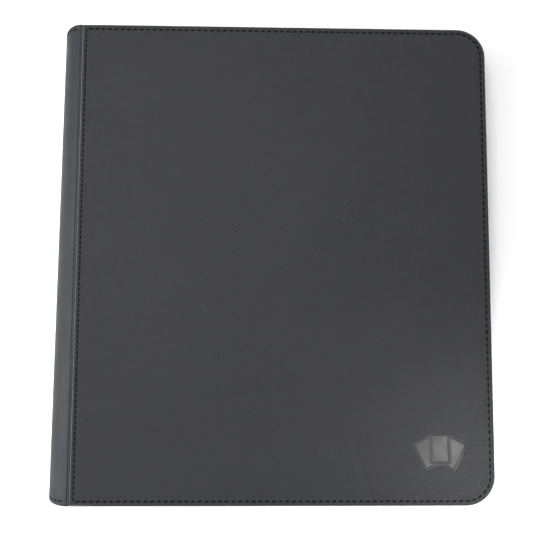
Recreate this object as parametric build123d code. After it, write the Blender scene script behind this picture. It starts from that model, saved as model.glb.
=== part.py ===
"""Side-loading trading card binder with a zip round its three open edges.

The binder lies closed on its back cover: +Z up, +Y towards the top edge of the book, spine at -X.
The origin is the middle of the footprint, on the surface that the binder rests on.
"""

from build123d import *
import os

# Driving dimensions, millimetres
HEIGHT = 332.0  # covers and spine, along Y
FACE = 286.0  # a cover, from its fold at the spine to the fore-edge
BULGE = 16.0  # how far the rounded spine stands out from the folds
THICK = 38.0  # the closed binder
CORNER = 20.0  # fore-edge corners of the covers
PAGES = 20

# Layers of a cover, from outside to inside
SKIN = 0.8
FOAM = 0.8
BOARD = 1.6
LINING = 0.4
EDGE_ROUND = 1.2  # outer edge of a cover
FOLD_LIP = 3.0  # turn-in of the skin at the spine

# Layers of the spine, under a skin of the same thickness
STIFFENER = 1.4
STIFFENER_HALF = 13.0  # the stiffener reaches this far above and below the middle
SPINE_TURN_IN = 4.0  # the inner layers are this much shorter than the skin
WELT_R = 1.7  # soft roll that each cover turns on
WELT_GAP = 2.0  # from the roll's centre to the fold
WELT_LENGTH = HEIGHT - 2

# Zip
TAPE_INSET = 6.0  # from a cover's edge to the tape
TAPE = 0.6
FACING = 6.0  # width of the strip that covers the tape's sewn edge
TAPE_START = 3.0  # from the fold
COIL_W = 2.2  # across the tape
COIL_H = 2.0  # along the tape's width
COIL_HALF_GAP = 1.0  # half of the gap where the two coils mesh
COIL_START = 12.0  # from the fold
COIL_CLEAR = 0.3  # from the front coil to its stop
STOP_LENGTH = 1.5
STOP_W = 2.6
PARKED = 21.0  # slider's centre when the zip is shut, from the fold
SLIDER_LENGTH = 13.0
SLIDER_HALF_W = 4.55
SLIDER_WALL = 1.2
CHANNEL_HALF = 1.5  # between the slider's plates, from the tape's middle
SLOT_HALF = 0.8  # where the tape leaves the slider
SLIDER_ROUND = 2.0
POST_START = 1.0  # the wedge post, from the slider's end
POST_LENGTH = 4.0
POST_HALF = 0.6
LIFT_CLEAR = 2.5  # from the slider to the front coil
CROWN_HALF = 3.9
CROWN_HALF_W = 1.0
CROWN_WALL = 0.8
PIN_R = 0.5
PIN_CLEAR = 0.35  # round the pin, under the crown
PULL_LENGTH = 38.0
PULL_W = 8.0
PULL_THICK = 1.2
WINDOW_LENGTH = 6.5  # opening for the crown
WINDOW_HALF = 1.8
HOLE_R = 1.6
HOLE_INSET = 5.0  # from the pull's free end

# Page block
BLOCK_START = 10.0  # from the fold
BLOCK_WIDTH = 12.0
BLOCK_LENGTH = 290.0
TAB = 0.45  # one page's clamped edge
WEB = 1.0  # flap that carries the block, clamped in its middle
FOOT_HALF = 9.0  # the flap's glued foot reaches this far above and below the middle
STRIP = 0.6
RIVETS = 5
RIVET_PITCH = 64.0
RIVET_R = 1.5
RIVET_HEAD_R = 3.0
RIVET_HEAD = 0.9
RIVET_CLEAR = 0.1
LEAF_START = 25.0  # from the fold
LEAF_END = 256.0
LEAF = 0.9
LEAF_PITCH = 1.5
LEAF_CORNER = 4.0

# Worked out
COVER = SKIN + FOAM + BOARD + LINING
MID = THICK / 2
FOLD = -(FACE - BULGE) / 2  # X of the folds
TAPE_Y = HEIGHT / 2 - TAPE_INSET - TAPE / 2  # middle of the tape on the long edges
COIL_LOW = MID - COIL_HALF_GAP - COIL_H
FLAP_LENGTH = BLOCK_LENGTH - 10


def block(x_range, y_range, z_range):
    """A box from three low-to-high ranges."""
    ranges = (x_range, y_range, z_range)
    centre = [(low + high) / 2 for low, high in ranges]
    size = [high - low for low, high in ranges]
    return Pos(*centre) * Box(*size)


def slab(inset, start, low, high):
    """A cover's plan, set in from its three open edges, from start past the fold."""
    left = FOLD + start
    right = FOLD + FACE - inset
    plan = Pos((left + right) / 2, 0, low) * Rectangle(right - left, HEIGHT - 2 * inset)
    corners = plan.vertices().group_by(Axis.X)[-1]
    return extrude(fillet(corners, CORNER - inset), high - low)


def band(outer, inner, start, low, high):
    """The U between two insets, open at the spine."""
    return slab(outer, start, low, high) - slab(inner, 0, low, high)


def along_spine(profile, length):
    """Extrude a profile drawn in X and Z along the binder, evenly about its middle."""
    return extrude(Plane.XZ * profile, length / 2, both=True)


def to_front(shape):
    """The front cover's twin of a piece of the back cover."""
    return mirror(shape, Plane.XY.offset(MID))


# Covers


def cover_skin():
    """Leatherette wrapped round the boards and turned in on all four sides."""
    inside = COVER - LINING
    skin = slab(0, 0, 0, COVER)
    skin -= slab(SKIN, SKIN, SKIN, inside)
    skin -= slab(TAPE_INSET, FOLD_LIP, inside, COVER)
    return fillet(skin.edges().group_by(Axis.Z)[0], EDGE_ROUND)


def cover_foam():
    return slab(SKIN, SKIN, SKIN, SKIN + FOAM)


def cover_board():
    return slab(SKIN, SKIN, SKIN + FOAM, COVER - LINING)


def cover_lining():
    return slab(TAPE_INSET + FACING, FOLD_LIP, COVER - LINING, COVER)


# Zip


def zip_tape():
    """The cloth wall that stands up from the cover's turn-in to the coil."""
    return band(TAPE_INSET, TAPE_INSET + TAPE, TAPE_START, COVER - LINING, COIL_LOW)


def zip_facing():
    """A flat strip between the tape and the lining, over the tape's sewn edge."""
    low = COVER - LINING
    return band(TAPE_INSET + TAPE, TAPE_INSET + FACING, TAPE_START, low, low + TAPE)


def zip_coil(start):
    """The envelope of one row of teeth, along the tape's edge."""
    middle = TAPE_INSET + TAPE / 2
    outer = middle - COIL_W / 2
    return band(outer, outer + COIL_W, start, COIL_LOW, COIL_LOW + COIL_H)


def front_coil():
    """Starts past the parked slider, so that the front cover lifts clear of it."""
    coil = to_front(zip_coil(COIL_START + COIL_CLEAR))
    slider_end = FOLD + PARKED + SLIDER_LENGTH / 2 + LIFT_CLEAR
    return coil - block((FOLD, slider_end), (-HEIGHT / 2, 0), (MID, THICK))


def coil_stop(side, top):
    """A crimped block at the end of a coil, on the top (+1) or bottom (-1) edge."""
    ends = (FOLD + COIL_START - STOP_LENGTH, FOLD + COIL_START)
    sides = (side * TAPE_Y - STOP_W / 2, side * TAPE_Y + STOP_W / 2)
    return block(ends, sides, (COIL_LOW, top))


def slider():
    """Two plates joined by a wedge post, with flanges that close round the coils."""
    x = FOLD + PARKED
    ends = (x - SLIDER_LENGTH / 2, x + SLIDER_LENGTH / 2)
    reach = CHANNEL_HALF + SLIDER_WALL
    body = block(ends, (-reach, reach), (-SLIDER_HALF_W, SLIDER_HALF_W))
    body = fillet(body.edges().filter_by(Axis.Y), SLIDER_ROUND)
    inside = SLIDER_HALF_W - SLIDER_WALL
    body -= block(ends, (-CHANNEL_HALF, CHANNEL_HALF), (-inside, inside))
    body -= block(ends, (-SLOT_HALF, SLOT_HALF), (-SLIDER_HALF_W, SLIDER_HALF_W))
    post_start = ends[0] + POST_START
    post_ends = (post_start, post_start + POST_LENGTH)
    body += block(post_ends, (-CHANNEL_HALF, CHANNEL_HALF), (-POST_HALF, POST_HALF))
    return Pos(0, -TAPE_Y, MID) * body


def slider_crown():
    """The arch on the slider that holds the pull."""
    x = FOLD + PARKED
    base = -TAPE_Y - CHANNEL_HALF - SLIDER_WALL
    top = base - 2 * (PIN_R + PIN_CLEAR) - CROWN_WALL
    sides = (MID - CROWN_HALF_W, MID + CROWN_HALF_W)
    arch = block((x - CROWN_HALF, x + CROWN_HALF), (top, base), sides)
    outer_corners = arch.edges().filter_by(Axis.Z).group_by(Axis.Y)[0]
    arch = fillet(outer_corners, CROWN_WALL)
    inside = CROWN_HALF - CROWN_WALL
    return arch - block((x - inside, x + inside), (top + CROWN_WALL, base), sides)


def pull():
    """A tab with a window for the crown and a pin that turns under it."""
    x = FOLD + PARKED
    y = -TAPE_Y - CHANNEL_HALF - SLIDER_WALL - PIN_R - PIN_CLEAR
    half = PULL_THICK / 2
    tab = block((x, x + PULL_LENGTH), (y - half, y + half), (MID - PULL_W / 2, MID + PULL_W / 2))
    far_corners = tab.edges().filter_by(Axis.Y).group_by(Axis.X)[-1]
    tab = fillet(far_corners, PULL_W / 2 - 0.5)
    tab += Pos(x, y, MID) * Cylinder(half, PULL_W)
    window = (MID - WINDOW_HALF, MID + WINDOW_HALF)
    tab -= block((x - half, x + WINDOW_LENGTH), (y - half, y + half), window)
    hole_x = x + PULL_LENGTH - HOLE_INSET
    tab -= Pos(hole_x, y, MID) * Rot(90, 0, 0) * Cylinder(HOLE_R, PULL_THICK)
    return tab + Pos(x, y, MID) * Cylinder(PIN_R, PULL_W)


# Spine


def welt_profile(z):
    return Pos(FOLD - WELT_GAP, z) * Circle(WELT_R)


def spine_layer(depth, thickness, half_width):
    """One layer of the half-oval spine, at a depth under its surface."""
    outer = Ellipse(BULGE - depth, MID - depth)
    inner = Ellipse(BULGE - depth - thickness, MID - depth - thickness)
    reach = BULGE - WELT_GAP
    window = Pos(-WELT_GAP - reach / 2, 0) * Rectangle(reach, 2 * half_width)
    ring = Pos(FOLD, MID) * ((outer - inner) & window)
    for z in (COVER / 2, THICK - COVER / 2):
        ring -= welt_profile(z)
    return ring


def spine_skin():
    return along_spine(spine_layer(0, SKIN, MID), HEIGHT)


def spine_stiffener():
    return along_spine(spine_layer(SKIN, STIFFENER, STIFFENER_HALF), HEIGHT - SPINE_TURN_IN)


def spine_lining():
    return along_spine(spine_layer(SKIN + STIFFENER, LINING, MID), HEIGHT - SPINE_TURN_IN)


def hinge_welt(z):
    return along_spine(welt_profile(z), WELT_LENGTH)


# Page block


def binding_flap():
    """A strip glued inside the spine that runs into the middle of the page block."""
    depth = SKIN + STIFFENER + LINING
    foot = along_spine(spine_layer(depth, WEB, FOOT_HALF), FLAP_LENGTH)
    foot_x = FOLD - BULGE + depth + WEB / 2
    block_end = FOLD + BLOCK_START + BLOCK_WIDTH
    half = FLAP_LENGTH / 2
    web = block((foot_x, block_end), (-half, half), (MID - WEB / 2, MID + WEB / 2))
    return foot + web - rivet_row(RIVET_R + RIVET_CLEAR, THICK)


def rivet_row(radius, length):
    """Cylinders on the rivets' centres, evenly about the middle of the block."""
    x = FOLD + BLOCK_START + BLOCK_WIDTH / 2
    places = [Pos(x, (i - (RIVETS - 1) / 2) * RIVET_PITCH, MID) for i in range(RIVETS)]
    return Compound([place * Cylinder(radius, length) for place in places])


def clamped_layer(low, thickness):
    """A strip of the page block with its rivet holes."""
    ends = (FOLD + BLOCK_START, FOLD + BLOCK_START + BLOCK_WIDTH)
    half = BLOCK_LENGTH / 2
    layer = block(ends, (-half, half), (low, low + thickness))
    return layer - rivet_row(RIVET_R + RIVET_CLEAR, THICK)


def page_tabs():
    """The pages' edges, half of them above the flap's web and half below."""
    above = [MID + WEB / 2 + i * TAB for i in range(PAGES // 2)]
    below = [MID - WEB / 2 - (i + 1) * TAB for i in range(PAGES // 2)]
    return Compound([clamped_layer(low, TAB).solid() for low in above + below])


def binding_strip():
    low = MID - WEB / 2 - PAGES // 2 * TAB - STRIP
    return clamped_layer(low, STRIP)


def rivets():
    half = WEB / 2 + PAGES // 2 * TAB + STRIP
    shanks = rivet_row(RIVET_R, 2 * half)
    heads = rivet_row(RIVET_HEAD_R, 2 * (half + RIVET_HEAD)) - rivet_row(RIVET_HEAD_R, 2 * half)
    return shanks + heads


def page_leaf(number):
    """A pocket page past its clamped edge. Page 1 is under the front cover."""
    z = MID + ((PAGES + 1) / 2 - number) * LEAF_PITCH
    ends = (FOLD + LEAF_START, FOLD + LEAF_END)
    half = BLOCK_LENGTH / 2
    leaf = block(ends, (-half, half), (z - LEAF / 2, z + LEAF / 2))
    far_corners = leaf.edges().filter_by(Axis.Z).group_by(Axis.X)[-1]
    return fillet(far_corners, LEAF_CORNER)


def all_parts():
    """Every node by name."""
    parts = {
        "back_skin": cover_skin(),
        "back_foam": cover_foam(),
        "back_board": cover_board(),
        "back_lining": cover_lining(),
        "back_zip_tape": zip_tape(),
        "back_zip_facing": zip_facing(),
        "back_zip_coil": zip_coil(COIL_START),
        "spine_skin": spine_skin(),
        "spine_stiffener": spine_stiffener(),
        "spine_lining": spine_lining(),
        "back_hinge_welt": hinge_welt(COVER / 2),
        "front_hinge_welt": hinge_welt(THICK - COVER / 2),
        "binding_flap": binding_flap(),
        "page_tabs": page_tabs(),
        "back_binding_strip": binding_strip(),
        "front_binding_strip": to_front(binding_strip()),
        "binding_rivets": rivets(),
        "back_top_stop": coil_stop(-1, COIL_LOW + COIL_H),
        "front_top_stop": to_front(coil_stop(-1, COIL_LOW + COIL_H)),
        "bottom_stop": coil_stop(1, MID),
        "zip_slider": slider(),
        "slider_crown": slider_crown(),
        "zip_pull": pull(),
        "front_zip_coil": front_coil(),
    }
    for layer in ("skin", "foam", "board", "lining", "zip_tape", "zip_facing"):
        parts[f"front_{layer}"] = to_front(parts[f"back_{layer}"])
    for number in range(1, PAGES + 1):
        parts[f"page_{number:02d}"] = page_leaf(number)
    return parts


os.makedirs("parts", exist_ok=True)
for name, shape in all_parts().items():
    export_step(shape, f"parts/{name}.step")
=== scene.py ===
"""A closed zip-around card album in padded leatherette: cover skins, stitching, spine, zip and pages.

Everything is in metres in the frame's own axes: +Z up, +Y towards the book's top edge, spine at -X.
"""

import bmesh
import bpy
import math
import random
from mathutils import Matrix, Vector


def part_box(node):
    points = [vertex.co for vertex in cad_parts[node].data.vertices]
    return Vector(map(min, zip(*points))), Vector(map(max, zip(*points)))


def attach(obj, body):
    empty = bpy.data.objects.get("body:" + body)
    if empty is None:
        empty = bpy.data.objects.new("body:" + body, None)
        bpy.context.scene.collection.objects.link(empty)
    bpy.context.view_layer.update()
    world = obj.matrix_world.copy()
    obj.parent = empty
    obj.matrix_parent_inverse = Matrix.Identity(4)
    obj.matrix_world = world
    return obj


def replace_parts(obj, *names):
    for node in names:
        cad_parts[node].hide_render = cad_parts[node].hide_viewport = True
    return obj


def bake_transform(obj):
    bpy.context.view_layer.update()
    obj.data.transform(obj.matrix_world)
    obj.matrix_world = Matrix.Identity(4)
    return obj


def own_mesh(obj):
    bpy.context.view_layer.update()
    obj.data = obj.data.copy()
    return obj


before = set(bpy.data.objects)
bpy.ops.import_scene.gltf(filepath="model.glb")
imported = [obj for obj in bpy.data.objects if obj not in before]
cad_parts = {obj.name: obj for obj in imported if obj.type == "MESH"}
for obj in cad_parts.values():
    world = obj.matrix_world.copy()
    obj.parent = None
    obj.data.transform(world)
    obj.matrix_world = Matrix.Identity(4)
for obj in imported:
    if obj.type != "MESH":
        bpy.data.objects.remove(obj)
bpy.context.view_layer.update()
random.seed(11)

MM = 0.001

# Places worked out from the frame
skin_low, skin_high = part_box("front_skin")
FOLD = skin_low[0]
FORE = skin_high[0]
HALF = skin_high[1]
TOP = skin_high[2]
MID = TOP / 2
SPINE_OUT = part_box("spine_skin")[0][0]
BULGE = FOLD - SPINE_OUT
tape_low, tape_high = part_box("back_zip_tape")
TAPE_INSET = FORE - tape_high[0]
COIL_LOW = tape_high[2]
COIL_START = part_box("back_zip_coil")[0][0] - FOLD
CORNER = 20 * MM
ARC_STEPS = 18


# Materials


def add(tree, kind, inputs=None, **settings):
    """A node with its settings, whose inputs are set to values or linked to sockets."""
    node = tree.nodes.new(kind)
    for key, value in settings.items():
        setattr(node, key, value)
    for key, value in (inputs or {}).items():
        if isinstance(value, bpy.types.NodeSocket):
            tree.links.new(value, node.inputs[key])
        else:
            node.inputs[key].default_value = value
    return node


def maths(tree, operation, *values):
    """One Math node's output."""
    return add(tree, "ShaderNodeMath", dict(enumerate(values)), operation=operation).outputs[0]


def noise(tree, place, scale, detail=3.0):
    """A noise texture's grey value."""
    inputs = {"Vector": place, "Scale": scale, "Detail": detail}
    return add(tree, "ShaderNodeTexNoise", inputs).outputs["Fac"]


def spread(tree, value, low, high, to_low, to_high):
    """value, remapped and clamped."""
    inputs = {"Value": value, 1: low, 2: high, 3: to_low, 4: to_high}
    return add(tree, "ShaderNodeMapRange", inputs, clamp=True).outputs[0]


def tint(tree, factor, first, second):
    """A colour between two by a varying factor. Each is a colour or a socket."""
    inputs = {0: factor, 6: first, 7: second}
    return add(tree, "ShaderNodeMix", inputs, data_type="RGBA").outputs[2]


def bump(tree, height, distance, strength=1.0, normal=None):
    """A bump node's normal, with distance in metres."""
    inputs = {"Height": height, "Distance": distance, "Strength": strength}
    if normal is not None:
        inputs["Normal"] = normal
    return add(tree, "ShaderNodeBump", inputs).outputs[0]


def rgb(value):
    """A grey level or a triple as a colour with alpha."""
    triple = (value,) * 3 if isinstance(value, float) else value
    return (*triple, 1.0)


def surface(name, **sockets):
    """A new Principled material: its tree, its shader node and the place on the object."""
    material = bpy.data.materials.new(name)
    material.use_nodes = True
    tree = material.node_tree
    shader = tree.nodes["Principled BSDF"]
    for key, value in sockets.items():
        shader.inputs[key.replace("_", " ")].default_value = value
    place = add(tree, "ShaderNodeTexCoord").outputs["Object"]
    return material, tree, shader, place


def joined(tree, shader, **sources):
    """Link sockets to the shader's inputs by name."""
    for key, value in sources.items():
        tree.links.new(value, shader.inputs[key.replace("_", " ")])


def crosshatch(tree, place, pitch):
    """Crossed diagonal threads, 0 between them and 1 on their crowns."""
    axes = add(tree, "ShaderNodeSeparateXYZ", {0: place}).outputs
    turn = math.pi / (pitch * math.sqrt(2))
    rising = maths(tree, "MULTIPLY", maths(tree, "ADD", axes[0], axes[1]), turn)
    falling = maths(tree, "MULTIPLY", maths(tree, "SUBTRACT", axes[0], axes[1]), turn)
    first = maths(tree, "ABSOLUTE", maths(tree, "SINE", rising))
    second = maths(tree, "ABSOLUTE", maths(tree, "SINE", falling))
    return maths(tree, "MULTIPLY", first, second)


def cover_leatherette():
    """Satin leatherette embossed like woven cloth, smooth where a blind mark was pressed in."""
    material, tree, shader, place = surface("cover_leatherette", Specular_IOR_Level=0.27)
    threads = crosshatch(tree, place, 1.2 * MM)
    pressed = add(tree, "ShaderNodeAttribute", attribute_name="pressed").outputs["Fac"]
    woven = maths(tree, "SUBTRACT", 1.0, pressed)
    relief = maths(tree, "MULTIPLY", threads, woven)
    mottling = spread(tree, noise(tree, place, 22.0), 0.35, 0.65, 0.0, 1.0)
    base = tint(tree, mottling, rgb((0.0338, 0.0348, 0.0384)), rgb((0.0362, 0.0372, 0.0408)))
    # Painted shade: the hollows between the embossed threads are darkened almost to black in the
    # colour.
    base = tint(tree, spread(tree, relief, 0.05, 0.6, 0.95, 0.0), base, rgb(0.006))
    base = tint(tree, spread(tree, pressed, 0.0, 1.0, 0.0, 0.85), base, rgb(0.014))
    # Painted shade: the stitch groove round the cover is darkened in the colour.
    painted_groove_shade = add(tree, "ShaderNodeAttribute", attribute_name="painted_groove_shade").outputs["Fac"]
    base = tint(tree, spread(tree, painted_groove_shade, 0.2, 1.0, 0.0, 0.3), base, rgb(0.006))
    # Painted highlight: a light grey laid along the fold's raised ridge.
    painted_ridge_highlight = add(tree, "ShaderNodeAttribute", attribute_name="painted_ridge_highlight").outputs["Fac"]
    base = tint(tree, spread(tree, painted_ridge_highlight, 0.2, 0.9, 0.0, 0.9), base, rgb((0.135, 0.141, 0.151)))
    dust = spread(tree, noise(tree, place, 900.0, 1.0), 0.77, 0.82, 0.0, 0.6)
    base = tint(tree, dust, base, rgb(0.22))
    rough = spread(tree, noise(tree, place, 160.0), 0.3, 0.7, 0.46, 0.60)
    rough = maths(tree, "SUBTRACT", rough, maths(tree, "MULTIPLY", pressed, 0.06))
    normal = bump(tree, relief, 0.45 * MM, 1.0)
    normal = bump(tree, noise(tree, place, 2600.0), 0.03 * MM, 0.5, normal)
    joined(tree, shader, Base_Color=base, Roughness=rough, Normal=normal)
    return material


def spine_leatherette():
    """Smooth leatherette with a fine pebbled grain."""
    material, tree, shader, place = surface("spine_leatherette", Specular_IOR_Level=0.24)
    grain = noise(tree, place, 1500.0, 2.0)
    mottling = spread(tree, noise(tree, place, 30.0), 0.35, 0.65, 0.0, 1.0)
    base = tint(tree, mottling, rgb((0.0164, 0.0186, 0.0218)), rgb((0.0194, 0.0218, 0.0252)))
    dust = spread(tree, noise(tree, place, 800.0, 1.0), 0.80, 0.84, 0.0, 0.4)
    base = tint(tree, dust, base, rgb(0.25))
    rough = spread(tree, noise(tree, place, 90.0), 0.3, 0.7, 0.48, 0.60)
    normal = bump(tree, grain, 0.05 * MM, 0.6)
    joined(tree, shader, Base_Color=base, Roughness=rough, Normal=normal)
    return material


def thread():
    """Black polyester sewing thread with its twist."""
    material, tree, shader, place = surface("thread", Roughness=0.85, Specular_IOR_Level=0.05)
    twist = noise(tree, place, 3500.0)
    base = tint(tree, twist, rgb(0.002), rgb(0.008))
    joined(tree, shader, Base_Color=base, Normal=bump(tree, twist, 0.06 * MM))
    return material


def woven_cloth(name, dark, light, pitch, sheen=0.2):
    """A fine plain weave."""
    material, tree, shader, place = surface(name, Roughness=0.85)
    shader.inputs["Sheen Weight"].default_value = sheen
    threads = crosshatch(tree, place, pitch)
    patches = spread(tree, noise(tree, place, 60.0), 0.3, 0.7, 0.0, 0.3)
    base = tint(tree, maths(tree, "ADD", threads, patches), rgb(dark), rgb(light))
    joined(tree, shader, Base_Color=base, Normal=bump(tree, threads, 0.2 * pitch, 0.8))
    return material


def moulded_nylon():
    """The zip's dull black teeth."""
    material, tree, shader, place = surface("moulded_nylon", Roughness=0.4)
    streaks = noise(tree, place, 400.0)
    base = tint(tree, streaks, rgb(0.010), rgb(0.028))
    rough = spread(tree, streaks, 0.3, 0.7, 0.32, 0.5)
    joined(tree, shader, Base_Color=base, Roughness=rough)
    return material


def gunmetal():
    """Black-plated zip metal, rubbed a little brighter in patches."""
    material, tree, shader, place = surface("gunmetal", Metallic=1.0, Roughness=0.3)
    rub = noise(tree, place, 120.0, 5.0)
    base = tint(tree, spread(tree, rub, 0.45, 0.8, 0.0, 1.0), rgb(0.10), rgb(0.16))
    rough = spread(tree, rub, 0.3, 0.7, 0.27, 0.34)
    normal = bump(tree, noise(tree, place, 2500.0), 0.006 * MM, 0.3)
    joined(tree, shader, Base_Color=base, Roughness=rough, Normal=normal)
    return material


def pocket_film():
    """Clear glossy film over a matte black backing, dull where it is welded."""
    material, tree, shader, place = surface("pocket_film", IOR=1.45, Coat_Weight=0.6)
    welded = add(tree, "ShaderNodeAttribute", attribute_name="welded").outputs["Fac"]
    ripple = noise(tree, place, 26.0, 2.0)
    knurl = crosshatch(tree, place, 0.8 * MM)
    base = tint(tree, welded, rgb((0.018, 0.018, 0.021)), rgb(0.055))
    rough = spread(tree, welded, 0.0, 1.0, 0.12, 0.5)
    normal = bump(tree, ripple, 1.2 * MM, 0.5)
    normal = bump(tree, maths(tree, "MULTIPLY", knurl, welded), 0.15 * MM, 0.8, normal)
    joined(tree, shader, Base_Color=base, Roughness=rough, Normal=normal)
    return material


def greyboard():
    """Pressed grey fibre board."""
    material, tree, shader, place = surface("greyboard", Roughness=0.9)
    fibres = noise(tree, place, 500.0, 6.0)
    base = tint(tree, fibres, rgb((0.22, 0.19, 0.16)), rgb((0.42, 0.37, 0.31)))
    joined(tree, shader, Base_Color=base, Normal=bump(tree, fibres, 0.1 * MM))
    return material


def soft_foam():
    """Fine open-cell foam."""
    material, tree, shader, place = surface("soft_foam", Roughness=0.95)
    cells = add(tree, "ShaderNodeTexVoronoi", {"Vector": place, "Scale": 1600.0}).outputs[0]
    base = tint(tree, cells, rgb(0.05), rgb(0.14))
    joined(tree, shader, Base_Color=base, Normal=bump(tree, cells, 0.2 * MM))
    return material


COVER_SKIN = cover_leatherette()
SPINE_SKIN = spine_leatherette()
THREAD = thread()
LINING = woven_cloth("lining_cloth", 0.008, 0.030, 0.5 * MM)
TAPE = woven_cloth("zip_tape_cloth", 0.008, 0.032, 0.8 * MM)
NYLON = moulded_nylon()
METAL = gunmetal()
FILM = pocket_film()
BOARD = greyboard()
FOAM = soft_foam()


# Mesh helpers


def piece(name, verts, faces, material, body=None):
    """A smooth-shaded mesh piece that rides on a body."""
    mesh = bpy.data.meshes.new(name)
    mesh.from_pydata(verts, [], faces)
    mesh.validate()
    obj = bpy.data.objects.new(name, mesh)
    bpy.context.collection.objects.link(obj)
    mesh.materials.append(material)
    mesh.shade_smooth()
    if body:
        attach(obj, body)
    return obj


def mark_points(obj, name, values):
    """A named value on each point, for the material to read."""
    obj.data.attributes.new(name, "FLOAT", "POINT").data.foreach_set("value", values)


def steps(low, high, pitch):
    """Evenly spaced values from low to high, about pitch apart."""
    count = max(1, round((high - low) / pitch))
    return [low + (high - low) * i / count for i in range(count + 1)]


def arc(centre, radius, start, end, count=ARC_STEPS):
    """Points strictly between the two ends of an arc, angles in degrees."""
    points = []
    for i in range(1, count):
        angle = math.radians(start + (end - start) * i / count)
        points.append((centre[0] + radius * math.cos(angle), centre[1] + radius * math.sin(angle)))
    return points


def turn_round(inset, fold_inset, xs, ys):
    """One turn round a cover, anticlockwise from the fold, through the grid lines xs and ys."""
    left, right, half = FOLD + fold_inset, FORE - inset, HALF - inset
    radius = CORNER - inset
    centre_x, centre_y = FORE - CORNER, HALF - CORNER
    points = [(left, -half)]
    points += [(x, -half) for x in xs]
    points += arc((centre_x, -centre_y), radius, -90, 0)
    points += [(right, y) for y in ys]
    points += arc((centre_x, centre_y), radius, 0, 90)
    points += [(x, half) for x in reversed(xs)]
    points += [(left, half)]
    points += [(left, y) for y in reversed(ys)]
    return points


def sheet_faces(wide, tall):
    """Faces of a closed sheet: a grid of points, the grid under it, and the rim between them."""
    under = wide * tall
    faces = []
    for r in range(tall - 1):
        for c in range(wide - 1):
            a = r * wide + c
            b = under + a
            faces.append((a, a + 1, a + wide + 1, a + wide))
            faces.append((b, b + wide, b + wide + 1, b + 1))
    rim = list(range(wide))
    rim += [(r + 1) * wide - 1 for r in range(1, tall)]
    rim += [(tall - 1) * wide + c for c in reversed(range(wide - 1))]
    rim += [r * wide for r in reversed(range(1, tall - 1))]
    for a, b in zip(rim, rim[1:] + rim[:1]):
        faces.append((b, a, under + a, under + b))
    return faces


def tube_faces(rings, sides):
    """Faces of a capped tube whose rings of points turn right-handed about its direction."""
    faces = []
    for i in range(rings - 1):
        for k in range(sides):
            n = (k + 1) % sides
            a, b = i * sides, (i + 1) * sides
            faces.append((a + k, a + n, b + n, b + k))
    faces.append(tuple(reversed(range(sides))))
    faces.append(tuple((rings - 1) * sides + k for k in range(sides)))
    return faces


def smooth(value, low, high):
    """0 below low, 1 above high and an even curve between."""
    share = min(max((value - low) / (high - low), 0.0), 1.0)
    return share * share * (3 - 2 * share)


def facing(points, up):
    """Z of a cover's point: given for the front, mirrored for the back."""
    return [(x, y, z if up else TOP - z) for x, y, z in points]


# Covers

STITCH_INSET = 3.3 * MM
SEAM_INSET = 3.0 * MM
# Inset on the open edges, inset at the fold, and height over the cover's face, in millimetres
EDGE_PROFILE = [
    (6.0, 3.0, -3.45), (5.9, 2.9, -3.6), (1.6, 1.6, -3.62), (0.6, 0.6, -3.45), (0.12, 0.1, -3.0),
    (0.0, 0.0, -2.3), (0.0, 0.0, -1.2), (0.12, 0.05, -0.5), (0.45, 0.25, -0.16), (0.9, 0.65, 0.12),
    (1.6, 1.1, 0.1), (2.3, 1.9, 0.06), (2.75, 2.5, -0.08), (3.05, 2.8, -0.34), (3.55, 3.2, -0.34),
    (3.85, 3.5, -0.08), (4.4, 4.0, 0.04), (5.4, 4.9, 0.1), (8.0, 7.0, 0.1), (13.0, 12.0, 0.02),
    (20.0, 20.0, 0.0),
]

# The blind mark: three blank cards fanned in the lower corner
MARK = (FORE - 37 * MM, -HALF + 36.5 * MM)
CARD_HALF = (7.6 * MM, 10.8 * MM)
CARD_ROUND = 1.6 * MM
CARD_FAN = ((-27, -8.2, -1.6), (27, 8.2, -1.6), (0, 0, 1.2))  # degrees, then millimetres
MARK_REACH = (25 * MM, 19 * MM)
MARK_STEP = 0.42 * MM
MARK_DEPTH = 0.50 * MM
RIDGE_INSET = 1.5 * MM  # from a card's outline to the raised line inside it
RIDGE_HEIGHT = 0.40 * MM
FACE_STEP = 8 * MM


def card_distance(x, y, card):
    """Signed distance to one blank card's outline, negative inside."""
    angle, dx, dy = math.radians(card[0]), card[1] * MM, card[2] * MM
    px, py = x - MARK[0] - dx, y - MARK[1] - dy
    across = abs(px * math.cos(angle) - py * math.sin(angle)) - CARD_HALF[0] + CARD_ROUND
    along = abs(px * math.sin(angle) + py * math.cos(angle)) - CARD_HALF[1] + CARD_ROUND
    outside = math.hypot(max(across, 0), max(along, 0))
    return outside + min(max(across, along), 0) - CARD_ROUND


def mark_relief(x, y):
    """Height of the pressed mark and how smooth it is pressed, at a point of the front cover."""
    if abs(x - MARK[0]) > MARK_REACH[0] or abs(y - MARK[1]) > MARK_REACH[1]:
        return 0.0, 0.0
    distances = [card_distance(x, y, card) for card in CARD_FAN]
    nearest = min(distances)
    pressed = 1 - smooth(nearest, -0.1 * MM, 0.35 * MM)
    height = -MARK_DEPTH * pressed
    on_top = next((d for d in reversed(distances) if d < 0), None)
    if on_top is not None:
        ridge = 1 - smooth(abs(on_top + RIDGE_INSET), 0.25 * MM, 0.75 * MM)
        height += RIDGE_HEIGHT * ridge
    return height, pressed


def grid_lines(with_mark):
    """The lines across a cover's face, close together round the mark."""
    xs = steps(FOLD + CORNER, FORE - CORNER, FACE_STEP)
    ys = steps(-HALF + CORNER, HALF - CORNER, FACE_STEP)
    if not with_mark:
        return xs, ys
    lines = []
    for values, middle, reach in ((xs, MARK[0], MARK_REACH[0]), (ys, MARK[1], MARK_REACH[1])):
        low = max(middle - reach, values[0])
        high = min(middle + reach, values[-1])
        kept = [v for v in values if v < low - 2 * MM or v > high + 2 * MM]
        kept += [values[0], values[-1]]
        lines.append(sorted(set(kept + steps(low, high, MARK_STEP))))
    return lines


CROWN = 0.15 * MM
CROWN_REACH = 60 * MM


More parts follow.
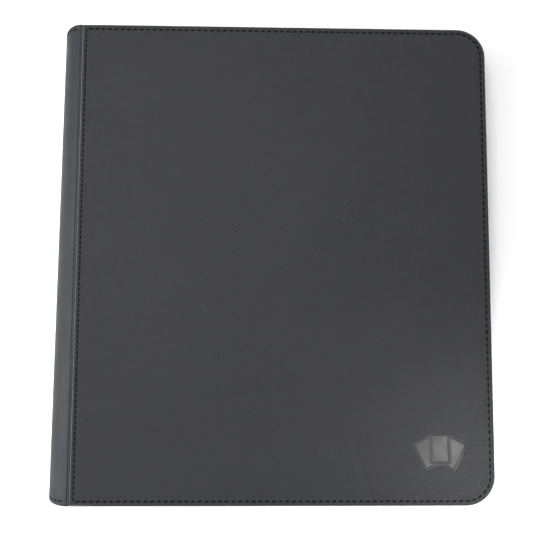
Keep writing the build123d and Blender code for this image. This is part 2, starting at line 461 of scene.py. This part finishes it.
def cushion(x, y):
    """The foam's slight crown over the board."""
    from_edge = min(x - FOLD, FORE - x, HALF - abs(y)) - CORNER
    return CROWN * smooth(from_edge, 0.0, CROWN_REACH)


def cover_skin(name, up, body):
    """A padded skin: a grid for the face, and turns round it down to the turned-in lip."""
    xs, ys = grid_lines(up)
    verts, faces, pressed, painted_groove_shade, painted_ridge_highlight = [], [], [], [], []
    count = 0
    for inset, fold_inset, height in EDGE_PROFILE:
        ring = turn_round(inset * MM, fold_inset * MM, xs, ys)
        count = len(ring)
        verts += [(x, y, TOP + height * MM) for x, y in ring]
        # The stitch groove's loops, where painted shade darkens the colour.
        painted_groove_shade += [1.0 if 3.0 < inset < 3.6 else 0.0] * count
        # The fold's ridge, where a painted highlight lightens the colour.
        painted_ridge_highlight += [1.0 if 0.5 * MM < x - FOLD < 1.0 * MM else 0.0 for x, y in ring]
    pressed += [0.0] * len(verts)
    for level in range(len(EDGE_PROFILE) - 1):
        for i in range(count):
            j = (i + 1) % count
            a, b = level * count, (level + 1) * count
            faces.append((a + i, a + j, b + j, b + i))
    faces.append(tuple(reversed(range(count))))
    base = len(verts)
    for y in ys:
        for x in xs:
            relief, mask = mark_relief(x, y) if up and x < xs[-1] else (0.0, 0.0)
            verts.append((x, y, TOP + cushion(x, y) + relief))
            pressed.append(mask)
            painted_groove_shade.append(0.0)
            painted_ridge_highlight.append(0.0)
    wide = len(xs)
    for row in range(len(ys) - 1):
        for column in range(wide - 1):
            a = base + row * wide + column
            faces.append((a, a + 1, a + wide + 1, a + wide))
    if not up:
        faces = [tuple(reversed(face)) for face in faces]
    skin = piece(name, facing(verts, up), faces, COVER_SKIN)
    mark_points(skin, "pressed", pressed)
    mark_points(skin, "painted_groove_shade", painted_groove_shade)
    mark_points(skin, "painted_ridge_highlight", painted_ridge_highlight)
    apply_weld(skin)
    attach(skin, body)
    return skin


def apply_weld(obj):
    """Merge the points that lie on each other, and drop faces with no area."""
    form = bmesh.new()
    form.from_mesh(obj.data)
    bmesh.ops.remove_doubles(form, verts=form.verts, dist=1e-6)
    bmesh.ops.dissolve_degenerate(form, edges=form.edges, dist=1e-7)
    form.to_mesh(obj.data)
    form.free()
    obj.data.shade_smooth()


front_skin = cover_skin("front_cover_skin", True, "front_cover")
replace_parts(front_skin, "front_skin")
back_skin = cover_skin("back_cover_skin", False, "back_cover")
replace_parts(back_skin, "back_skin")


# Stitching

# Length, width and thickness of each stitch
STITCH = (3.0 * MM, 1.4 * MM, 0.6 * MM)
SEAM_STITCH = (2.5 * MM, 1.15 * MM, 0.6 * MM)
TAPE_STITCH = (2.4 * MM, 0.6 * MM, 0.4 * MM)
SPINE_STITCH = (2.9 * MM, 1.15 * MM, 0.6 * MM)
BORDER_PITCH = 4.5 * MM
SEAM_PITCH = 3.6 * MM
SPINE_PITCH = 4.3 * MM
TAPE_PITCH = 3.6 * MM
STITCH_DIP = 0.35 * MM  # how far each end of a stitch goes down
STITCH_RINGS = 7
STITCH_SIDES = 8


def stitch_form(centre, along, up, size, slant):
    """One stitch: a soft lozenge of thread that dips at both ends."""
    across = up.cross(along)
    along = (along + across * slant).normalized()
    across = up.cross(along).normalized()
    points = []
    for i in range(STITCH_RINGS):
        t = 2 * i / (STITCH_RINGS - 1) - 1
        girth = 0.18 + 0.82 * math.sqrt(max(0.0, 1 - abs(t) ** 3))
        middle = centre + along * (t * size[0] / 2) - up * (STITCH_DIP * t * t)
        for k in range(STITCH_SIDES):
            angle = 2 * math.pi * k / STITCH_SIDES
            side = across * (math.cos(angle) * girth * size[1] / 2)
            points.append(middle + side + up * (math.sin(angle) * girth * size[2] / 2))
    return points, tube_faces(STITCH_RINGS, STITCH_SIDES)


def walk(line, pitch, margin=0.0):
    """Evenly spaced (place, direction) along a line of points."""
    lengths = [(b - a).length for a, b in zip(line, line[1:])]
    total = sum(lengths) - 2 * margin
    count = max(1, round(total / pitch))
    places, index, passed = [], 0, 0.0
    for i in range(count):
        goal = margin + (i + 0.5) * total / count
        while index < len(lengths) - 1 and passed + lengths[index] < goal:
            passed += lengths[index]
            index += 1
        a, b = line[index], line[index + 1]
        direction = (b - a).normalized()
        places.append((a + direction * (goal - passed), direction))
    return places


def stitches(name, line, pitch, up, body=None, size=STITCH, slant=0.1, margin=0.0):
    """A row of stitches along a line. up is a direction, or a function of the place."""
    verts, faces = [], []
    for place, direction in walk(line, pitch, margin):
        outward = up(place) if callable(up) else up
        lean = slant * random.uniform(0.6, 1.4)
        length = size[0] * random.uniform(0.94, 1.06)
        points, sides = stitch_form(place, direction, outward, (length, *size[1:]), lean)
        faces += [tuple(len(verts) + i for i in side) for side in sides]
        verts += points
    return piece(name, verts, faces, THREAD, body=body)


def border_line(inset, height):
    """The line round the three open edges at an inset, from the fold and back to it."""
    xs = [FOLD + SEAM_INSET * 1.2, FORE - CORNER]
    ys = [-HALF + CORNER, HALF - CORNER]
    ring = turn_round(inset, inset, xs, ys)
    return [Vector((x, y, height)) for x, y in ring[1:-3]]


UP = Vector((0, 0, 1))
GROOVE_HEIGHT = TOP - 0.06 * MM
for side, up_side in (("front", True), ("back", False)):
    level = GROOVE_HEIGHT if up_side else TOP - GROOVE_HEIGHT
    normal = UP if up_side else -UP
    line = border_line(STITCH_INSET, level)
    stitches(f"{side}_border_stitches", line, BORDER_PITCH, normal, f"{side}_cover")
    seam = [Vector((FOLD + SEAM_INSET, y, level)) for y in (-HALF + 3 * MM, HALF - 3 * MM)]
    stitches(f"{side}_seam_stitches", seam, SEAM_PITCH, normal, f"{side}_cover", SEAM_STITCH)


# Spine

SPINE_STEPS = 40
SPINE_MARGIN = 3.1 * MM  # from the spine's end to its stitches
SPINE_THICK = 1.0 * MM
ROW_STEP = 12 * MM
BOARD_DEPTHS = (1.15 * MM, 2.2 * MM)  # outer and inner face of the spine's board
BOARD_REACH = math.radians(42)
LINING_DEPTHS = (2.4 * MM, 2.9 * MM)
SPINE_EDGE = math.radians(87)  # where the skin goes under the covers
END_DRAW = 0.010  # how much shorter the spine is along its outermost line


def swell(y):
    """The spine's bulge, a little fuller towards the bottom edge."""
    return BULGE * (1.01 - 0.075 * y / HALF)


def spine_point(angle, y, depth):
    """A point of the spine's section; angle 0 is the outermost line, positive upwards."""
    across = swell(y) - depth
    tall = MID - 0.1 * MM - depth
    drawn_in = 1 - END_DRAW * math.cos(angle) ** 2
    return (FOLD - across * math.cos(angle), y * drawn_in, MID + tall * math.sin(angle))


def spine_groove(y):
    """How deep the stitched line near each end is pressed in."""
    from_line = abs(HALF - abs(y) - SPINE_MARGIN)
    return 0.3 * MM * (1 - smooth(from_line, 0.2 * MM, 1.0 * MM))


def spine_rows():
    """Places along the spine, close together at its rolled ends and stitched lines."""
    ends = [0.0, 0.15, 0.5, 1.0, 1.8, 2.3, 2.7, 3.1, 3.5, 3.9, 4.5, 6.0, 9.0]
    bottom = [-HALF + e * MM for e in ends]
    middle = steps(bottom[-1], -bottom[-1], ROW_STEP)[1:-1]
    return bottom + middle + [-y for y in reversed(bottom)]


def rolled_end(y):
    """How far the skin draws in where it is turned over at the spine's ends."""
    from_end = HALF - abs(y)
    return 0.6 * MM * (1 - smooth(from_end, -0.3 * MM, 1.0 * MM))


def curved_sheet(name, depth_of, thickness, reach, rows, material):
    """A closed curved sheet that follows the spine, under its surface by depth_of(y)."""
    angles = [reach * (2 * i / SPINE_STEPS - 1) for i in range(SPINE_STEPS + 1)]
    verts = []
    for y in rows:
        verts += [spine_point(a, y, depth_of(y)) for a in angles]
    for y in rows:
        verts += [spine_point(a, y, depth_of(y) * 0.3 + thickness) for a in angles]
    return piece(name, verts, sheet_faces(len(angles), len(rows)), material)


FLATTEN = {"axis": (1, 0, 0), "anchor": (FOLD - 1.5 * MM, 0, MID), "keep": 0.08}


def flattens(obj):
    """Part of the spine's bulge, riding on the spine with a mesh of its own."""
    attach(obj, "spine")
    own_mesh(obj)


spine_cover = curved_sheet(
    "spine_leatherette_skin",
    lambda y: rolled_end(y) + spine_groove(y),
    SPINE_THICK,
    SPINE_EDGE,
    spine_rows(),
    SPINE_SKIN,
)
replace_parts(spine_cover, "spine_skin")
flattens(spine_cover)

inner_rows = steps(-HALF + 2 * MM, HALF - 2 * MM, ROW_STEP)
outer, inner = BOARD_DEPTHS
stiffener = curved_sheet(
    "spine_board", lambda y: outer, inner, BOARD_REACH, inner_rows, BOARD
)
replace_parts(stiffener, "spine_stiffener")
flattens(stiffener)
outer, inner = LINING_DEPTHS
inside = curved_sheet(
    "spine_inside_lining", lambda y: outer, inner, SPINE_EDGE, inner_rows, LINING
)
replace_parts(inside, "spine_lining")
flattens(inside)

for side in (-1, 1):
    y = side * (HALF - SPINE_MARGIN)
    end_line = [
        Vector(spine_point(math.radians(a), y, 0.12 * MM)) for a in range(-76, 77, 4)
    ]
    end_name = "top" if side > 0 else "bottom"
    row = stitches(
        f"spine_{end_name}_stitches",
        end_line,
        SPINE_PITCH,
        lambda p: Vector((p.x - FOLD, 0, p.z - MID)).normalized(),
        size=SPINE_STITCH,
    )
    flattens(row)


# Hinges

# Millimetres from the fold, towards the fore-edge, and millimetres of leatherette
STRIP_ENDS = (-3.7, 3.0)
STRIP_COLUMNS = 20
STRIP_THICK = 0.7


def hinge_strip(name, up):
    """Leatherette from the spine's edge, over the soft roll, to under the cover's skin."""
    near, far = STRIP_ENDS
    columns = [near + (far - near) * i / STRIP_COLUMNS for i in range(STRIP_COLUMNS + 1)]
    end = HALF - 0.25 * MM
    rows = [-end, -end + 0.7 * MM]
    rows += steps(-end + 2 * MM, end - 2 * MM, ROW_STEP)
    rows += [end - 0.7 * MM, end]
    verts = []
    for depth in (0.0, STRIP_THICK):
        for y in rows:
            for u in columns:
                under_spine = 1.05 * (1 - smooth(u, -2.6, -0.7))
                tucked = 1.3 * smooth(u, 0.0, 0.8)
                turned = 0.45 * (1 - smooth(HALF - abs(y), 0.2 * MM, 1.2 * MM))
                drop = 0.12 + under_spine + tucked + turned + depth
                verts.append((FOLD + u * MM, y, TOP - drop * MM))
    faces = sheet_faces(len(columns), len(rows))
    if not up:
        faces = [tuple(reversed(face)) for face in faces]
    strip = piece(name, facing(verts, up), faces, SPINE_SKIN)
    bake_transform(strip)
    return strip


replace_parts(hinge_strip("front_hinge_leatherette", True), "front_hinge_welt")
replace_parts(hinge_strip("back_hinge_leatherette", False), "back_hinge_welt")


# Zip


def u_path(inset, start, pitch):
    """(x, y) places round the three open edges, from the fold's bottom end to its top end."""
    half = HALF - inset
    centre_x, centre_y = FORE - CORNER, HALF - CORNER
    radius = CORNER - inset
    points = [(x, -half) for x in steps(FOLD + start, centre_x, pitch)]
    points += arc((centre_x, -centre_y), radius, -90, 0)
    points += [(FORE - inset, y) for y in steps(-centre_y, centre_y, pitch)]
    points += arc((centre_x, centre_y), radius, 0, 90)
    points += [(x, half) for x in reversed(steps(FOLD + start, centre_x, pitch))]
    return points


def outward_at(x, y):
    """The direction out of the binder at a place on the zip's line."""
    centre_x, centre_y = FORE - CORNER, HALF - CORNER
    if x <= centre_x:
        return Vector((0, math.copysign(1, y), 0))
    if abs(y) <= centre_y:
        return Vector((1, 0, 0))
    return Vector((x - centre_x, y - math.copysign(centre_y, y), 0)).normalized()


TAPE_MIDDLE = TAPE_INSET + 0.3 * MM
TAPE_START = tape_low[0] - FOLD
CLOTH = 0.5 * MM
RIPPLE = 0.22 * MM
# Set in from the tape's line and height over the outside of the back cover, in millimetres
TAPE_PROFILE = [
    (5.9, 3.72), (4.4, 3.74), (2.4, 3.76), (1.0, 3.85), (0.3, 4.3), (0.0, 5.2), (-0.05, 7.0),
    (0.05, 9.0), (0.1, 11.0), (0.02, 13.0), (0.0, 14.6), (0.0, 15.6), (0.0, 16.3),
]


def zip_tape(side, up):
    """Half of the zip's cloth: sewn flat beside the lining, then standing up to the teeth."""
    path = u_path(TAPE_MIDDLE, TAPE_START, 5 * MM)
    verts, faces = [], []
    for i, (x, y) in enumerate(path):
        out = outward_at(x, y)
        for set_in, height in TAPE_PROFILE:
            share = smooth(height, 4.5, 9.0) * (1 - smooth(height, 11.0, 15.0))
            ripple = RIPPLE * share * math.sin(i * 0.9) * math.sin(i * 0.23)
            point = Vector((x, y, 0)) + out * (ripple - set_in * MM)
            verts.append((point.x, point.y, TOP - height * MM))
    wide = len(TAPE_PROFILE)
    for i in range(len(path) - 1):
        for c in range(wide - 1):
            a = i * wide + c
            faces.append((a, a + 1, a + wide + 1, a + wide))
    if up:
        faces = [tuple(reversed(face)) for face in faces]
    tape = piece(f"{side}_zip_tape_cloth", facing(verts, up), faces, TAPE, f"{side}_cover")
    shell = tape.modifiers.new("thickness", "SOLIDIFY")
    shell.thickness = CLOTH
    shell.offset = 0.0
    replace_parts(tape, f"{side}_zip_tape")
    return tape


SEWN_SET_IN = 3.6 * MM  # from the tape's middle to its stitches
SEWN_HEIGHT = 4.05 * MM
TOOTH_PITCH = 2.0 * MM
TOOTH_FOOT = 2.0 * MM  # from the tooth's lower end to the tape's edge
# Height from the tape's edge towards the other row, half width along the zip and half depth across it
TOOTH_RINGS = [
    (-2.3, 0.30, 0.55), (-2.0, 0.42, 1.0), (-0.8, 0.40, 1.1), (0.2, 0.36, 1.1), (0.75, 0.46, 1.1),
    (1.2, 0.50, 0.95), (1.45, 0.30, 0.5),
]
TOOTH_SIDES = 8


def tooth(centre, along, out):
    """One moulded tooth that grips the tape's edge, its head past the middle of the zip."""
    verts = []
    for height, half_width, half_depth in TOOTH_RINGS:
        for k in range(TOOTH_SIDES):
            angle = 2 * math.pi * (k + 0.5) / TOOTH_SIDES
            place = centre + along * (1.08 * half_width * MM * math.cos(angle))
            place = place + out * (1.08 * half_depth * MM * math.sin(angle))
            verts.append((place.x, place.y, place.z + height * MM))
    return verts, tube_faces(len(TOOTH_RINGS), TOOTH_SIDES)


def zip_teeth(side, up):
    """One row of teeth. The front row is half a pitch along, so that the two rows mesh."""
    path = [Vector((x, y, 0)) for x, y in u_path(TAPE_MIDDLE, COIL_START + 0.5 * MM, 3 * MM)]
    verts, faces = [], []
    if up:
        path = [path[0] + Vector((TOOTH_PITCH / 2, 0, 0))] + path[1:]
    for place, along in walk(path, TOOTH_PITCH, margin=0.0):
        centre = Vector((place.x, place.y, COIL_LOW + TOOTH_FOOT))
        points, sides = tooth(centre, along, outward_at(place.x, place.y))
        if up:
            points = [(x, y, TOP - z) for x, y, z in points]
        else:
            sides = [tuple(reversed(s)) for s in sides]  # its rings turn left-handed
        faces += [tuple(len(verts) + i for i in s) for s in sides]
        verts += points
    teeth = piece(f"{side}_zip_teeth", verts, faces, NYLON, f"{side}_cover")
    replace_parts(teeth, f"{side}_zip_coil")


for side, up_side in (("front", True), ("back", False)):
    zip_tape(side, up_side)
    zip_teeth(side, up_side)
    sewn = []
    for x, y in u_path(TAPE_MIDDLE, TAPE_START + 2 * MM, 5 * MM):
        place = Vector((x, y, 0)) - outward_at(x, y) * SEWN_SET_IN
        height = TOP - SEWN_HEIGHT if up_side else SEWN_HEIGHT
        sewn.append(Vector((place.x, place.y, height)))
    inward = -UP if up_side else UP
    stitches(f"{side}_tape_stitches", sewn, TAPE_PITCH, inward, f"{side}_cover", TAPE_STITCH)


# Page block

leaf_low, leaf_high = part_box("page_10")
LEAF_START, LEAF_END, LEAF_HALF = leaf_low[0], leaf_high[0], leaf_high[1]
BLOCK_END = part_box("page_tabs")[1][0]
PAGE_COUNT = 20
COLUMNS = 3
POCKET_ROWS = 3
RIM = 4.0 * MM  # weld round the page
LOADING = 9.0 * MM  # plain margin beside the page block
TAB_PITCH = 0.45 * MM  # between pages where they are clamped
BACKING_HALF = 0.5 * MM  # from the block's middle to the innermost page's clamped edge


def weld_lines():
    """X places across the page and Y places along it where the film is welded."""
    left, right = LEAF_START + LOADING, LEAF_END - RIM / 2
    low, high = -LEAF_HALF + RIM / 2, LEAF_HALF - RIM / 2
    across = [left + (right - left) * i / COLUMNS for i in range(COLUMNS + 1)]
    along = [low + (high - low) * i / POCKET_ROWS for i in range(POCKET_ROWS + 1)]
    return across, along


def page_grid(lines, low, high):
    """Grid places that close in on each weld."""
    places = {low, high}
    for line in lines:
        for offset in (-2.6, -1.5, -0.8, 0.0, 0.8, 1.5, 2.6):
            places.add(min(max(line + offset * MM, low), high))
    for a, b in zip(lines, lines[1:]):
        places.update(steps(a + 6 * MM, b - 6 * MM, 14 * MM))
    return sorted(places)


def page(number):
    """A pocket page on both sides of a black backing, with a soft margin to its clamped edge."""
    low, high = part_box(f"page_{number:02d}")
    leaf_z, half = (low[2] + high[2]) / 2, (high[2] - low[2]) / 2
    rank = (PAGE_COUNT + 1) / 2 - number
    tab_z = MID + math.copysign(BACKING_HALF, rank) + rank * TAB_PITCH
    across, along = weld_lines()
    xs = steps(BLOCK_END - 0.3 * MM, LEAF_START + 4 * MM, 1.2 * MM)
    xs += [x for x in page_grid(across, LEAF_START, LEAF_END) if x > xs[-1] + 0.3 * MM]
    ys = page_grid(along, -LEAF_HALF, LEAF_HALF)
    verts, welded = [], []
    for face in (1, -1):
        for y in ys:
            for x in xs:
                rise = smooth(x, BLOCK_END, LEAF_START + 3 * MM)
                centre = tab_z + (leaf_z - tab_z) * rise
                near = min([abs(x - a) for a in across] + [abs(y - a) for a in along])
                weld = 1 - smooth(near, 0.6 * MM, 1.6 * MM)
                margin = 1 - smooth(x, across[0] - 1.5 * MM, across[0])
                thin = max(weld, margin)
                swell_out = half * (0.92 - 0.5 * thin) * (0.5 + 0.5 * rise)
                end_round = smooth(LEAF_END - x, -0.4 * MM, 0.8 * MM)
                verts.append((x, y, centre + face * swell_out * (0.4 + 0.6 * end_round)))
                welded.append(max(weld, 0.6 * margin))
    faces = sheet_faces(len(xs), len(ys))
    leaf = piece(f"pocket_page_{number:02d}", verts, faces, FILM)
    mark_points(leaf, "welded", welded)
    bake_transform(leaf)
    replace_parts(leaf, f"page_{number:02d}")


for number in range(1, PAGE_COUNT + 1):
    page(number)


# The flap between the spine and the page block

FLAP_HALF_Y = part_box("binding_flap")[1][1]
FLAP_HALF_Z = 0.45 * MM


def flap_part(name, left, right):
    """A flat strip of the flap with softly rounded long edges."""
    half_z = FLAP_HALF_Z
    verts = []
    outline = [(left, half_z), (right, half_z), (right + 0.3 * MM, 0.0), (right, -half_z)]
    outline += [(left, -half_z), (left - 0.3 * MM, 0.0)]
    rows = steps(-FLAP_HALF_Y, FLAP_HALF_Y, 14 * MM)
    for y in rows:
        verts += [(x, y, MID + z) for x, z in outline]
    return piece(name, verts, tube_faces(len(rows), len(outline)), TAPE)


anchor_x = FLATTEN["anchor"][0]
flap = flap_part("binding_flap_strip", anchor_x, BLOCK_END - 0.6 * MM)
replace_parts(flap, "binding_flap")
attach(flap, "spine")
flattens(flap_part("binding_flap_root", SPINE_OUT + 3.6 * MM, anchor_x))


# Frame pieces whose shape is right take a finish

FINISHES = {
    "foam": FOAM,
    "board": BOARD,
    "lining": LINING,
    "facing": TAPE,
    "strip": SPINE_SKIN,
    "tabs": FILM,
    "rivets": METAL,
    "stop": METAL,
    "slider": METAL,
    "crown": METAL,
    "pull": METAL,
}
for name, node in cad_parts.items():
    for ending, material in FINISHES.items():
        if name.endswith(ending):
            node.data.materials.clear()
            node.data.materials.append(material)
for name in ("zip_slider", "slider_crown", "zip_pull"):
    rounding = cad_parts[name].modifiers.new("soft_edges", "BEVEL")
    rounding.width = 0.18 * MM
    rounding.segments = 2
    rounding.angle_limit = math.radians(40)


# Floor, light and camera


FLOOR_REACH = 12.0
FLOOR_LEVEL = -0.2 * MM


def floor():
    """A wide pale floor just under the binder."""
    material, tree, shader, place = surface("pale_floor", Roughness=0.9)
    base = tint(tree, noise(tree, place, 3.0), rgb(0.86), rgb(0.9))
    joined(tree, shader, Base_Color=base)
    turns = ((-1, -1), (1, -1), (1, 1), (-1, 1))
    corners = [(x * FLOOR_REACH, y * FLOOR_REACH, FLOOR_LEVEL) for x, y in turns]
    ground = piece("floor", corners, [(0, 1, 2, 3)], material)


def softbox(name, place, aim, size, watts, spread_angle=180):
    """A square light that faces a point."""
    data = bpy.data.lights.new(name, "AREA")
    data.shape = "RECTANGLE"
    data.size, data.size_y = size
    data.energy = watts
    data.spread = math.radians(spread_angle)
    lamp = bpy.data.objects.new(name, data)
    lamp.location = place
    lamp.rotation_euler = (Vector(aim) - Vector(place)).to_track_quat("-Z", "Y").to_euler()
    bpy.context.collection.objects.link(lamp)


floor()
softbox("left_light", (-1.3, -0.3, 0.8), (0, 0, 0), (1.1, 1.1), 21.5)
softbox("corner_light", (0.215, -0.19, 0.26), (0.14, -0.145, TOP), (0.08, 0.08), 0.09, 48)
softbox("middle_light", (-0.32, 0.1, 1.0), (-0.08, 0, TOP), (0.4, 0.4), 0.85, 50)
softbox("overhead", (-0.5, 0, 2.0), (0, 0, 0), (2.5, 2.5), 17)

SKY_STRENGTH = 0.55
world = bpy.data.worlds.new("studio")
world.use_nodes = True
world.node_tree.nodes["Background"].inputs[0].default_value = rgb(1.0)
world.node_tree.nodes["Background"].inputs[1].default_value = SKY_STRENGTH
bpy.context.scene.world = world
bpy.context.scene.view_settings.view_transform = "Standard"


CAMERA_FROM_FACE = (-0.0238, -0.0493, 0.4800)  # from the middle of the cover's face
CAMERA_TURNS = (-5.26, 1.38, -0.38)  # degrees about X, Y and Z


def camera():
    """Nearly overhead, from a little below and to the left of the cover's middle."""
    data = bpy.data.cameras.new("camera")
    data.lens = 47.3
    data.sensor_width = 36.0
    eye = bpy.data.objects.new("camera", data)
    turns = zip(CAMERA_TURNS, "XYZ")
    tilt, lean, roll = (Matrix.Rotation(math.radians(angle), 3, axis) for angle, axis in turns)
    face_middle = Vector(((FOLD + FORE) / 2, 0, TOP))
    place = face_middle + Vector(CAMERA_FROM_FACE)
    eye.matrix_world = Matrix.Translation(place) @ (roll @ lean @ tilt).transposed().to_4x4()
    bpy.context.collection.objects.link(eye)
    bpy.context.scene.camera = eye


camera()
